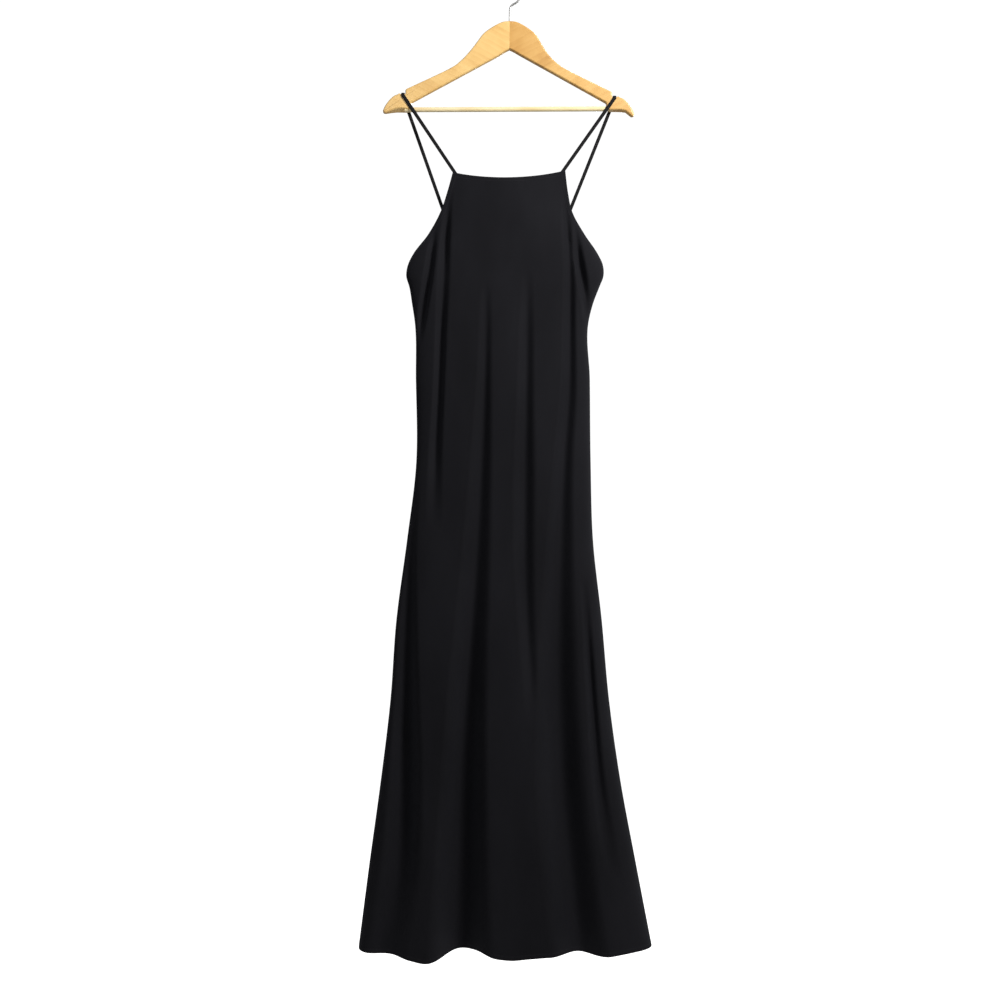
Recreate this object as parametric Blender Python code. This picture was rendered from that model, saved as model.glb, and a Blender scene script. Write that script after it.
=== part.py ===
"""Slip dress hanging by its straps on a wooden hanger.

Metres, +Z up, the front faces -Y. The origin is the inside of the hook's top, where a rail
carries it. Every table below is in millimetres and every "drop" is measured down from the origin.
"""
import math

import bmesh
import bpy
import numpy as np
from mathutils import Matrix, Vector

MM = 0.001

# Shared clearances
SEAM_GAP = 0.3                      # between two pieces that are sewn, glued or resting
CLOTH = 1.2                         # wall of the crepe, with its turned seam allowances

# Hanger, drawn level and then hung slightly out of level
WOOD_TOP = 66.0                     # drop of the crown
WOOD_THICK = 12.0
WOOD_EDGE = 2.4                     # rounding of the wood's edges
HANG_TILT = math.radians(0.8)       # right end low
NOTCH_X = 187.2                     # middle of each strap notch
NOTCH_DEEP = 131.8                  # notch floor, below the crown
BAR_RADIUS = 4.25
BAR_REACH = 180.0                   # half of the bar's length, sockets included
BAR_DROP = {-1: 158.6, 1: 152.6}    # below the crown, at the left and right sockets
SOCKET_WALL = 2.4
HOOK_WIRE = 1.8                     # wire radius
HOOK_INSIDE = 17.0                  # inner radius of the hook
HOOK_BEND = 12.0                    # radius of the bend under the hook
HOOK_SEAT = 26.0                    # length of stem inside the wood
HOOK_TIP = 186.0                    # where the hook ends, in degrees round from +X

# Straps: narrow turned tubes pressed flat
STRAP_WIDE = 6.4
STRAP_THICK = 2.0
STRAP_TUCK = 9.0                    # length sewn behind each panel
TUCK_GAP = 0.55                     # strap to cloth there, allowing for the cloth's facets
FRONT_STRAP_AT = 0.955              # where it leaves the neck, as a share of the half width

# Panels
ROUND = 2.4                         # how full a section is: 2 is an ellipse, more is flatter
NECK_FLAT = 1.4                     # the same power at the neck, where the free edges don't turn in
FOLD_FADE = 1.6                     # folds die out towards the side seams
NECK_DROP = {-1: 334.6, 1: 338.0}
NECK_SCOOP = 7.0
UNDERARM_DROP = 514.0
HEM_DROP = 1699.0
BACK_STRAP_DROP = 487.0             # back neckline where the straps join
BACK_STRAP_AT = 0.47                # that place as a share of the half width
BACK_SCOOP = 12.0
ARMHOLE_TURN = 60.0                 # height over which the armhole edge turns to face the back
EDGE_FORWARD = 8.0                  # how far the neck corners stand in front of the side seams

FRONT_COLUMNS = 36
FRONT_ROWS = 31
BACK_COLUMNS = 30
BACK_ROWS = 26

# drop, left edge, right edge, front fullness, back fullness
SECTIONS = (
    (334, -101, 97, 7, 12),
    (371, -112, 102, 12, 14),
    (403, -123, 109, 17, 16),
    (445, -148, 132, 21, 18),
    (477, -172, 154, 24, 19),
    (497, -181, 163, 25, 20),
    (518, -183, 163, 26, 20),
    (535, -176, 155, 27, 21),
    (594, -169, 137, 28, 22),
    (700, -167, 138, 29, 22),
    (850, -166, 139, 31, 23),
    (984, -181, 143, 35, 25),
    (1126, -200, 159, 41, 28),
    (1268, -212, 173, 48, 32),
    (1410, -229, 193, 55, 36),
    (1552, -249, 219, 63, 40),
    (1699, -268, 249, 70, 45),
)

# Each fold is a soft trough; a row for each station along it: drop, x, depth, half width
FRONT_FOLDS = {
    "left_corner": (
        (370, -109, 0, 12), (430, -113, 5, 13), (612, -123, 7, 15), (825, -132, 6, 18), (960, -134, 0, 20)),
    "left_of_centre": (
        (560, -32, 0, 14), (683, -34, 4, 17), (825, -41, 8, 22), (1020, -54, 14, 28),
        (1268, -71, 26, 38), (1570, -80, 48, 54), (1699, -87, 58, 60)),
    "centre": (
        (550, 35, 0, 14), (683, 35, 4, 18), (880, 35, 8, 22), (1090, 39, 7, 26), (1290, 49, 0, 28)),
    "right_corner": (
        (365, 102, 0, 12), (430, 107, 5, 14), (612, 111, 7, 16), (825, 101, 8, 20), (1020, 93, 12, 28),
        (1268, 96, 20, 36), (1570, 113, 36, 50), (1699, 122, 42, 55)),
    "left_hip": (
        (950, -168, 0, 16), (1091, -172, 9, 20), (1268, -176, 16, 26), (1450, -184, 22, 34),
        (1570, -199, 20, 40), (1699, -220, 17, 45)),
    "right_hip": (
        (1100, 140, 0, 14), (1268, 150, 7, 18), (1430, 166, 9, 22), (1600, 190, 0, 26)),
}
BACK_FOLDS = {
    "left_strap": (
        (500, -80, 0, 16), (620, -78, 5, 20), (900, -84, 8, 26), (1200, -104, 18, 40), (1699, -138, 32, 58)),
    "centre": (
        (640, 12, 0, 18), (900, 8, 6, 26), (1250, 0, 18, 42), (1699, -12, 34, 62)),
    "right_strap": (
        (500, 66, 0, 16), (640, 68, 5, 20), (900, 70, 8, 26), (1230, 88, 16, 38), (1699, 116, 30, 54)),
    "left_hip": (
        (980, -158, 0, 18), (1300, -182, 10, 28), (1699, -214, 16, 38)),
    "right_hip": (
        (1040, 128, 0, 18), (1330, 156, 9, 28), (1699, 196, 15, 38)),
}

# Upper edge of one wooden arm from the crown outwards, then its end cap: x, drop below the crown
ARM_TOP = ((0, 0), (13, 1.8), (30, 10.5), (46, 23), (57, 40), (69, 58), (86, 74.5), (108, 87), (179, 120.5))
END_CAP = ((196, 129.4), (205, 134), (213.5, 144), (220.5, 156.5), (223, 166))
ARM_UNDER = ((166, 142), (20, 60.5), (9, 54.2), (0, 50))

FINISHES = {
    "cloth": ((0.0106, 0.0110, 0.0150), 0.82, 0.0),
    "strap": ((0.0090, 0.0090, 0.0120), 0.75, 0.0),
    "wood_left": ((0.80, 0.55, 0.25), 0.45, 0.0),
    "wood_right": ((0.74, 0.48, 0.21), 0.45, 0.0),
    "bar": ((0.86, 0.70, 0.42), 0.50, 0.0),
    "wire": ((0.62, 0.62, 0.60), 0.25, 1.0),
}


def clear_scene():
    for item in list(bpy.data.objects):
        bpy.data.objects.remove(item, do_unlink=True)


def finish(name):
    colour, roughness, metallic = FINISHES[name]
    material = bpy.data.materials.new(name)
    material.use_nodes = True
    shader = material.node_tree.nodes["Principled BSDF"]
    shader.inputs["Base Color"].default_value = (*colour, 1.0)
    shader.inputs["Roughness"].default_value = roughness
    shader.inputs["Metallic"].default_value = metallic
    return material


def along(stations, column, drop):
    """Value of one column of a table at a drop, on a smooth curve through the stations."""
    drops = [row[0] for row in stations]
    values = [row[column] for row in stations]
    if drop <= drops[0]:
        return values[0]
    if drop >= drops[-1]:
        return values[-1]
    slopes = np.gradient(values, drops)
    i = int(np.searchsorted(drops, drop)) - 1
    span = drops[i + 1] - drops[i]
    t = (drop - drops[i]) / span
    start = (1 + 2 * t) * (1 - t) ** 2 * values[i] + t * (1 - t) ** 2 * span * slopes[i]
    end = t * t * (3 - 2 * t) * values[i + 1] + t * t * (t - 1) * span * slopes[i + 1]
    return start + end


def ease(t):
    t = min(max(t, 0.0), 1.0)
    return t * t * (3 - 2 * t)


def trough(folds, x, drop):
    """Total depth of the folds at one place."""
    total = 0.0
    for stations in folds.values():
        if not stations[0][0] < drop <= stations[-1][0]:
            continue
        reach = abs(x - along(stations, 1, drop)) / along(stations, 3, drop)
        if reach < 1.0:
            total += max(along(stations, 2, drop), 0.0) * 0.5 * (1 + math.cos(math.pi * reach))
    return total


def section(u, drop, side):
    """Point of a panel's middle surface; u runs from -1 at the left edge to 1 at the right."""
    left = along(SECTIONS, 1, drop)
    right = along(SECTIONS, 2, drop)
    x = left + (right - left) * (u + 1) / 2
    above = ease((UNDERARM_DROP - drop) / (UNDERARM_DROP - NECK_DROP[-1])) if side < 0 else 0.0
    swell = (1 - min(abs(u), 1.0) ** ROUND) ** (1 / ROUND + (NECK_FLAT - 1 / ROUND) * above)
    fullness = along(SECTIONS, 3 if side < 0 else 4, drop) * swell
    folds = trough(FRONT_FOLDS if side < 0 else BACK_FOLDS, x, drop) * min(swell * FOLD_FADE, 1.0)
    return Vector((x, side * (SEAM_GAP / 2 + EDGE_FORWARD * above + fullness - folds), -drop))


def front_top(u):
    level = NECK_DROP[-1] + (NECK_DROP[1] - NECK_DROP[-1]) * (u + 1) / 2
    return level + NECK_SCOOP * (1 - u * u)


def back_top(u):
    if abs(u) > BACK_STRAP_AT:
        share = (abs(u) - BACK_STRAP_AT) / (1 - BACK_STRAP_AT)
        return BACK_STRAP_DROP + (UNDERARM_DROP - BACK_STRAP_DROP) * share ** 1.5
    return BACK_STRAP_DROP + BACK_SCOOP * (1 - (u / BACK_STRAP_AT) ** 2)


def facing(u, drop, side):
    """Unit normal of a panel's middle surface, pointing out of the dress."""
    step = 0.002
    across = section(min(u + step, 1.0), drop, side) - section(max(u - step, -1.0), drop, side)
    down = section(u, drop + 1.0, side) - section(u, drop - 1.0, side)
    normal = across.cross(down).normalized()
    return normal if normal.y * side > 0 else -normal


def mesh_object(name, bm, material, smooth=True):
    mesh = bpy.data.meshes.new(name)
    bm.to_mesh(mesh)
    bm.free()
    mesh.materials.append(material)
    thing = bpy.data.objects.new(name, mesh)
    bpy.context.collection.objects.link(thing)
    if smooth:
        mesh.shade_smooth()
        mesh.set_sharp_from_angle(angle=math.radians(40))
    return thing


def make_panel(name, side, top, columns, rows, material):
    """A wall of cloth: two sheets of points either side of the middle surface, closed round."""
    bm = bmesh.new()
    sheets = {}
    for layer in (1, -1):
        for i in range(columns + 1):
            u = -math.cos(math.pi * i / columns)
            seam = i in (0, columns)
            for j in range(rows + 1):
                t = j / rows
                drop = top(u) + (HEM_DROP - top(u)) * (0.45 * t + 0.55 * t * t)
                normal = facing(u, drop, side)
                if seam:
                    sewn = ease(1 + (drop - UNDERARM_DROP) / ARMHOLE_TURN)
                    normal = normal.lerp(Vector((u, 0, 0)), sewn).normalized()
                point = section(u, drop, side) + normal * (layer * CLOTH / 2)
                sheets[layer, i, j] = bm.verts.new(point * MM)

    def quad(corners):
        ordered = corners if side < 0 else corners[::-1]
        bm.faces.new([sheets[key] for key in ordered])

    for i in range(columns):
        for j in range(rows):
            quad([(1, i, j), (1, i, j + 1), (1, i + 1, j + 1), (1, i + 1, j)])
            quad([(-1, i, j), (-1, i + 1, j), (-1, i + 1, j + 1), (-1, i, j + 1)])
        quad([(1, i, 0), (1, i + 1, 0), (-1, i + 1, 0), (-1, i, 0)])
        quad([(1, i, rows), (-1, i, rows), (-1, i + 1, rows), (1, i + 1, rows)])
    for j in range(rows):
        quad([(1, 0, j), (-1, 0, j), (-1, 0, j + 1), (1, 0, j + 1)])
        quad([(1, columns, j), (1, columns, j + 1), (-1, columns, j + 1), (-1, columns, j)])
    return mesh_object(name, bm, material)


def hung(x, y, drop):
    """A point of the level hanger, drop below the crown, after it is hung out of level."""
    return Matrix.Rotation(HANG_TILT, 3, "Y") @ Vector((x, y, -(WOOD_TOP + drop)))


def smooth_outline(points, steps=3):
    """More points on a smooth curve through a short row of points."""
    knots = np.linspace(0, 1, len(points))
    table = [(k, x, drop) for k, (x, drop) in zip(knots, points)]
    count = (len(points) - 1) * steps
    return [(along(table, 1, i / count), along(table, 2, i / count)) for i in range(count + 1)]


def arm_outline(side):
    lobe = BAR_DROP[side] + BAR_RADIUS + SOCKET_WALL
    outline = smooth_outline(ARM_TOP)
    outline += [(181.4, 124), (NOTCH_X - 4.2, NOTCH_DEEP), (NOTCH_X + 4.2, NOTCH_DEEP)]
    outline += [(NOTCH_X + 5.6, NOTCH_DEEP - 2.4)]
    outline += smooth_outline(END_CAP)
    outline += [(221.5, 169), (217, 170.3), (206, lobe + 1.5), (197, lobe), (175, lobe)]
    outline += [(170.6, lobe - 3.5), (169.6, lobe - 8)]
    outline += ARM_UNDER
    return outline


def make_arm(name, side, material):
    """One flat wooden half: its outline given thickness, edges rounded, holes drilled."""
    bm = bmesh.new()
    corners = []
    for x, drop in arm_outline(side):
        place = (side * max(x, SEAM_GAP / 2) * MM, -WOOD_THICK / 2 * MM, -(WOOD_TOP + drop) * MM)
        corners.append(bm.verts.new(place))
    front = bm.faces.new(corners if side > 0 else corners[::-1])
    front.normal_update()
    if front.normal.y > 0:
        front.normal_flip()
    grown = bmesh.ops.extrude_face_region(bm, geom=[front])
    moved = [item for item in grown["geom"] if isinstance(item, bmesh.types.BMVert)]
    bmesh.ops.translate(bm, verts=moved, vec=(0, WOOD_THICK * MM, 0))
    bmesh.ops.recalc_face_normals(bm, faces=bm.faces)
    arm = mesh_object(name, bm, material)
    rounding = arm.modifiers.new("rounded edges", "BEVEL")
    rounding.width = WOOD_EDGE * MM
    rounding.segments = 2
    rounding.limit_method = "ANGLE"
    rounding.angle_limit = math.radians(85)
    return arm


def make_cutter(name, start, end, radius):
    """A round drill between two points, never rendered."""
    way = Vector(end) - Vector(start)
    bm = bmesh.new()
    bmesh.ops.create_cone(bm, cap_ends=True, segments=24, radius1=radius, radius2=radius, depth=way.length)
    mesh = bpy.data.meshes.new(name)
    bm.to_mesh(mesh)
    bm.free()
    drill = bpy.data.objects.new(name, mesh)
    bpy.context.collection.objects.link(drill)
    drill.location = (Vector(start) + Vector(end)) / 2
    drill.rotation_euler = way.to_track_quat("Z", "Y").to_euler()
    drill.hide_render = True
    drill.display_type = "WIRE"
    return drill


def drill_out(thing, cutter):
    hole = thing.modifiers.new(cutter.name, "BOOLEAN")
    hole.operation = "DIFFERENCE"
    hole.solver = "EXACT"
    hole.object = cutter


def sweep(name, path, normals, outline, material):
    """A solid with one outline carried along a path; normals keep it from twisting."""
    bm = bmesh.new()
    rings = []
    for k, place in enumerate(path):
        tangent = (path[min(k + 1, len(path) - 1)] - path[max(k - 1, 0)]).normalized()
        across = tangent.cross(normals[k]).normalized()
        out = across.cross(tangent)
        rings.append([bm.verts.new((place + across * a + out * b) * MM) for a, b in outline])
    count = len(outline)
    for near, far in zip(rings, rings[1:]):
        for i in range(count):
            bm.faces.new([near[i], near[(i + 1) % count], far[(i + 1) % count], far[i]])
    bm.faces.new(rings[0][::-1])
    bm.faces.new(rings[-1])
    bmesh.ops.recalc_face_normals(bm, faces=bm.faces)
    return mesh_object(name, bm, material)


def round_outline(radius, count):
    return [(radius * math.cos(2 * math.pi * i / count), radius * math.sin(2 * math.pi * i / count))
            for i in range(count)]


def strap_outline():
    """A pressed tube: flat faces and rounded edges."""
    flat = (STRAP_WIDE - STRAP_THICK) / 2
    half = STRAP_THICK / 2
    return [(flat + half, 0), (flat + half * 0.7, half * 0.7), (flat, half), (-flat, half),
            (-flat - half * 0.7, half * 0.7), (-flat - half, 0), (-flat - half * 0.7, -half * 0.7),
            (-flat, -half), (flat, -half), (flat + half * 0.7, -half * 0.7)]


def tuck_points(u_at, top, side, run_from):
    """Where a strap is sewn inside a panel: its deep end and its mouth, clear of the cloth."""
    clear = CLOTH / 2 + TUCK_GAP + STRAP_THICK / 2
    mouth = section(u_at, top(u_at) + 0.5, side)
    heading = (mouth - run_from)
    slope = heading.x / -heading.z
    deep_drop = -mouth.z + STRAP_TUCK / math.hypot(1, slope)
    left = along(SECTIONS, 1, deep_drop)
    right = along(SECTIONS, 2, deep_drop)
    deep_x = mouth.x + slope * (deep_drop + mouth.z)
    deep_u = 2 * (deep_x - left) / (right - left) - 1
    places = []
    outward = []
    for u, drop in ((deep_u, deep_drop), (u_at, -mouth.z)):
        outward.append(facing(u, drop, side))
        places.append(section(u, drop, side) - outward[-1] * clear)
    return places, outward


def strap_path(side):
    """Route of a strap and its outward direction at each point."""
    seat = WOOD_THICK / 2 + SEAM_GAP + STRAP_THICK / 2
    floor = NOTCH_DEEP - SEAM_GAP - STRAP_THICK / 2
    bend = WOOD_EDGE + SEAM_GAP + STRAP_THICK / 2
    over = []
    for i in range(5):
        angle = math.radians(90 * i / 4)
        over.append((-seat + bend * (1 - math.cos(angle)), floor + bend * (1 - math.sin(angle)), angle))
    over += [(-y, drop, math.pi - angle) for y, drop, angle in over[::-1]]
    front_rest = hung(side * NOTCH_X, -seat, floor + bend)
    back_rest = hung(side * NOTCH_X, seat, floor + bend)
    path, normals = tuck_points(side * FRONT_STRAP_AT, front_top, -1, front_rest)
    back_places, back_normals = tuck_points(side * BACK_STRAP_AT, back_top, 1, back_rest)
    front_mouth = path[-1]
    back_mouth = back_places[-1]
    for share in (0.1, 0.5, 0.9):
        path.append(front_mouth.lerp(front_rest, share))
        normals.append(Vector((0, -1, 0)))
    for y, drop, angle in over:
        path.append(hung(side * NOTCH_X, y, drop))
        normals.append(Vector((0, -math.cos(angle), math.sin(angle))))
    for share in (0.1, 0.5, 0.9):
        path.append(back_rest.lerp(back_mouth, share))
        normals.append(Vector((0, 1, 0)))
    path += back_places[::-1]
    normals += back_normals[::-1]
    return path, normals


def hook_path():
    """Stem, under-bend and open loop of the hook, in the level hanger's frame."""
    loop = HOOK_INSIDE + HOOK_WIRE
    rise = math.sqrt((loop + HOOK_BEND) ** 2 - HOOK_BEND ** 2)
    bend_drop = HOOK_INSIDE + rise
    meet = math.atan2(rise, HOOK_BEND)
    path = [Vector((0, 0, -(WOOD_TOP + HOOK_SEAT))), Vector((0, 0, -WOOD_TOP)), Vector((0, 0, -bend_drop - 6))]
    for i in range(7):
        angle = math.pi - (math.pi - (math.pi - meet)) * i / 6
        path.append(Vector((HOOK_BEND + HOOK_BEND * math.cos(angle), 0, -bend_drop + HOOK_BEND * math.sin(angle))))
    steps = 26
    for i in range(1, steps + 1):
        angle = -meet + (math.radians(HOOK_TIP) + meet) * i / steps
        path.append(Vector((loop * math.cos(angle), 0, -HOOK_INSIDE + loop * math.sin(angle))))
    return path


def build():
    clear_scene()
    cloth = finish("cloth")
    make_panel("front_panel", -1, front_top, FRONT_COLUMNS, FRONT_ROWS, cloth)
    make_panel("back_panel", 1, back_top, BACK_COLUMNS, BACK_ROWS, cloth)

    strap = finish("strap")
    for side, word in ((-1, "left"), (1, "right")):
        path, normals = strap_path(side)
        sweep("strap_" + word, path, normals, strap_outline(), strap)

    level = bpy.data.objects.new("hanger", None)
    bpy.context.collection.objects.link(level)
    level.rotation_euler = (0, HANG_TILT, 0)

    ends = [Vector((side * BAR_REACH, 0, -(WOOD_TOP + BAR_DROP[side]))) for side in (-1, 1)]
    past = (ends[1] - ends[0]).normalized() * SEAM_GAP
    socket = make_cutter("bar socket", (ends[0] - past) * MM, (ends[1] + past) * MM, (BAR_RADIUS + SEAM_GAP) * MM)
    stem_foot = Vector((0, 0, -(WOOD_TOP + HOOK_SEAT + SEAM_GAP)))
    stem_hole = make_cutter("stem hole", stem_foot * MM, Vector((0, 0, -WOOD_TOP + 5)) * MM, (HOOK_WIRE + SEAM_GAP) * MM)
    pieces = [socket, stem_hole]
    for side, word in ((-1, "left"), (1, "right")):
        arm = make_arm("hanger_half_" + word, side, finish("wood_" + word))
        drill_out(arm, socket)
        drill_out(arm, stem_hole)
        pieces.append(arm)
    spin = [ends[0].lerp(ends[1], share) for share in (0.0, 0.5, 1.0)]
    pieces.append(sweep("hanger_bar", spin, [Vector((0, 0, 1))] * 3, round_outline(BAR_RADIUS, 20), finish("bar")))
    bend = hook_path()
    pieces.append(sweep("hanger_hook", bend, [Vector((0, 1, 0))] * len(bend), round_outline(HOOK_WIRE, 12),
                        finish("wire")))
    for piece in pieces:
        piece.parent = level


build()
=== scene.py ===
import math

import bpy
import numpy as np
from mathutils import Matrix, Vector


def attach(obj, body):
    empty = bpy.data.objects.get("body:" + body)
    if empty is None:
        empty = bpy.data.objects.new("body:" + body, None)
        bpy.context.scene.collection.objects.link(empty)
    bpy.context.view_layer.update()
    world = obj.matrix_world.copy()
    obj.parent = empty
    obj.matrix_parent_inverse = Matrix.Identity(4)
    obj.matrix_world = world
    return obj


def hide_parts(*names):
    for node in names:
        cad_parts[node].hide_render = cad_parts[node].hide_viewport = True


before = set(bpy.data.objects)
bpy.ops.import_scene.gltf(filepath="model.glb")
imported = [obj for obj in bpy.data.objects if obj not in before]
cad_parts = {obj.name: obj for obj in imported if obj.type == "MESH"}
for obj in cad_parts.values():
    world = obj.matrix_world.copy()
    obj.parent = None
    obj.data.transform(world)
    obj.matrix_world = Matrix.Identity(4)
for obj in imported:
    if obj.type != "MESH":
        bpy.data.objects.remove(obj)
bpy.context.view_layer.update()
mm = 0.001

# Slip dress on a wooden hanger. Tables are in millimetres; a "drop" is measured down from the
# inside of the hook's top, which is the origin. The front faces -Y.

# small helpers

def alongTable(rows, column, drop):
    # a smooth curve through the stations of a table, read at many drops at once
    drops = np.array([row[0] for row in rows], float)
    values = np.array([row[column] for row in rows], float)
    slopes = np.gradient(values, drops)
    d = np.clip(np.asarray(drop, float), drops[0], drops[-1])
    i = np.clip(np.searchsorted(drops, d) - 1, 0, len(drops) - 2)
    span = drops[i + 1] - drops[i]
    t = (d - drops[i]) / span
    start = (1 + 2 * t) * (1 - t) ** 2 * values[i] + t * (1 - t) ** 2 * span * slopes[i]
    end = t * t * (3 - 2 * t) * values[i + 1] + t * t * (t - 1) * span * slopes[i + 1]
    return start + end


def ease(t):
    t = np.clip(t, 0.0, 1.0)
    return t * t * (3 - 2 * t)


def deselectAll():
    for item in bpy.context.selected_objects:
        item.select_set(False)


def makeActive(piece):
    deselectAll()
    piece.select_set(True)
    bpy.context.view_layer.objects.active = piece


def applyModifiers(piece):
    makeActive(piece)
    for modifier in list(piece.modifiers):
        bpy.ops.object.modifier_apply(modifier=modifier.name)


def pieceFromMesh(name, verts, faces, material):
    mesh = bpy.data.meshes.new(name)
    mesh.from_pydata([tuple(v) for v in verts], [], faces)
    mesh.materials.append(material)
    piece = bpy.data.objects.new(name, mesh)
    bpy.context.collection.objects.link(piece)
    return piece


# shader helpers and shared effects

def newGroup(name, inputs, outputs):
    group = bpy.data.node_groups.new(name, "ShaderNodeTree")
    for label, kind, value in inputs:
        socket = group.interface.new_socket(label, in_out="INPUT", socket_type=kind)
        if value is not None:
            socket.default_value = value
    for label, kind in outputs:
        group.interface.new_socket(label, in_out="OUTPUT", socket_type=kind)
    start = group.nodes.new("NodeGroupInput")
    end = group.nodes.new("NodeGroupOutput")
    return group, start, end


def addNode(tree, kind, **settings):
    node = tree.nodes.new(kind)
    for key, value in settings.items():
        setattr(node, key, value)
    return node


def mathNode(tree, operation, a, b=None):
    node = addNode(tree, "ShaderNodeMath", operation=operation)
    for index, value in enumerate((a, b)):
        if value is None:
            continue
        if isinstance(value, (int, float)):
            node.inputs[index].default_value = value
        else:
            tree.links.new(value, node.inputs[index])
    return node.outputs[0]


def noiseNode(tree, vector, scale, detail=3.0, roughness=0.5):
    node = addNode(tree, "ShaderNodeTexNoise", noise_dimensions="3D")
    node.inputs["Scale"].default_value = scale
    node.inputs["Detail"].default_value = detail
    node.inputs["Roughness"].default_value = roughness
    tree.links.new(vector, node.inputs["Vector"])
    return node.outputs["Fac"]


def mapped(tree, vector, scale=(1, 1, 1), turn=(0, 0, 0), shift=(0, 0, 0)):
    node = addNode(tree, "ShaderNodeMapping")
    node.inputs["Scale"].default_value = scale
    node.inputs["Rotation"].default_value = turn
    node.inputs["Location"].default_value = shift
    tree.links.new(vector, node.inputs["Vector"])
    return node.outputs["Vector"]


def ramp(tree, value, stops):
    node = addNode(tree, "ShaderNodeValToRGB")
    points = node.color_ramp.elements
    while len(points) < len(stops):
        points.new(0.5)
    for point, (place, colour) in zip(points, stops):
        point.position = place
        point.color = (*colour, 1.0)
    tree.links.new(value, node.inputs["Fac"])
    return node.outputs["Color"]


def mixColour(tree, factor, a, b, blend="MIX"):
    node = addNode(tree, "ShaderNodeMix", data_type="RGBA", blend_type=blend)
    for socket, value in ((node.inputs[0], factor), (node.inputs[6], a), (node.inputs[7], b)):
        if isinstance(value, (int, float)):
            socket.default_value = value
        elif isinstance(value, tuple):
            socket.default_value = (*value, 1.0)
        else:
            tree.links.new(value, socket)
    return node.outputs[2]


def makeCrepeGroup():
    # crepe: pebbled high-twist yarns over a plain weave, with slow tonal drift
    group, start, end = newGroup(
        "crepeWeave",
        [("Vector", "NodeSocketVector", None), ("Threads", "NodeSocketFloat", 1500.0)],
        [("Height", "NodeSocketFloat"), ("Tone", "NodeSocketFloat"), ("Drift", "NodeSocketFloat")])
    vector = start.outputs["Vector"]
    pebble = noiseNode(group, mapped(group, vector, (1.0, 1.0, 0.7)), 900.0, 4.0, 0.6)
    waves = []
    for direction in ("X", "Y"):
        wave = addNode(group, "ShaderNodeTexWave", wave_type="BANDS", bands_direction=direction,
                       wave_profile="SIN")
        waves.append(wave.outputs["Fac"])
        group.links.new(vector, wave.inputs["Vector"])
        group.links.new(start.outputs["Threads"], wave.inputs["Scale"])
        wave.inputs["Distortion"].default_value = 2.2
        wave.inputs["Detail"].default_value = 1.0
    threads = mathNode(group, "MULTIPLY", *waves)
    height = mathNode(group, "ADD", mathNode(group, "MULTIPLY", threads, 0.45),
                      mathNode(group, "MULTIPLY", pebble, 0.55))
    group.links.new(height, end.inputs["Height"])
    group.links.new(pebble, end.inputs["Tone"])
    drift = noiseNode(group, mapped(group, vector, (1.0, 0.35, 1.0)), 9.0, 3.0, 0.55)
    group.links.new(drift, end.inputs["Drift"])
    return group


def makeGrainGroup():
    # timber: growth rings stretched along X, with fine pores and a slow tone change
    group, start, end = newGroup(
        "woodGrain",
        [("Vector", "NodeSocketVector", None), ("Rings", "NodeSocketFloat", 34.0)],
        [("Rings", "NodeSocketFloat"), ("Pores", "NodeSocketFloat"), ("Tone", "NodeSocketFloat")])
    vector = start.outputs["Vector"]
    wander = noiseNode(group, mapped(group, vector, (2.0, 8.0, 14.0)), 3.0, 2.0, 0.5)
    stretched = mapped(group, vector, (0.16, 1.0, 1.0))
    warped = addNode(group, "ShaderNodeVectorMath", operation="ADD")
    pushed = addNode(group, "ShaderNodeVectorMath", operation="SCALE")
    pushed.inputs["Scale"].default_value = 0.012
    blended = addNode(group, "ShaderNodeCombineXYZ")
    group.links.new(wander, blended.inputs["Y"])
    group.links.new(wander, blended.inputs["Z"])
    group.links.new(blended.outputs[0], pushed.inputs[0])
    group.links.new(stretched, warped.inputs[0])
    group.links.new(pushed.outputs[0], warped.inputs[1])
    rings = addNode(group, "ShaderNodeTexWave", wave_type="RINGS", rings_direction="X", wave_profile="SAW")
    rings.inputs["Distortion"].default_value = 3.0
    rings.inputs["Detail"].default_value = 2.0
    rings.inputs["Detail Scale"].default_value = 1.4
    group.links.new(warped.outputs[0], rings.inputs["Vector"])
    group.links.new(start.outputs["Rings"], rings.inputs["Scale"])
    pores = noiseNode(group, mapped(group, vector, (0.05, 1.0, 1.0)), 1100.0, 2.0, 0.6)
    tone = noiseNode(group, mapped(group, vector, (0.45, 1.0, 1.0)), 40.0, 3.0, 0.5)
    group.links.new(rings.outputs["Fac"], end.inputs["Rings"])
    group.links.new(pores, end.inputs["Pores"])
    group.links.new(tone, end.inputs["Tone"])
    return group


# metres; "dash" is the share of each stitch that shows as thread
sewing = {"step": 0.0008, "lineIn": 0.0012, "lineHalf": 0.0004, "dash": 0.7, "rubReach": 0.0025}


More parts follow.
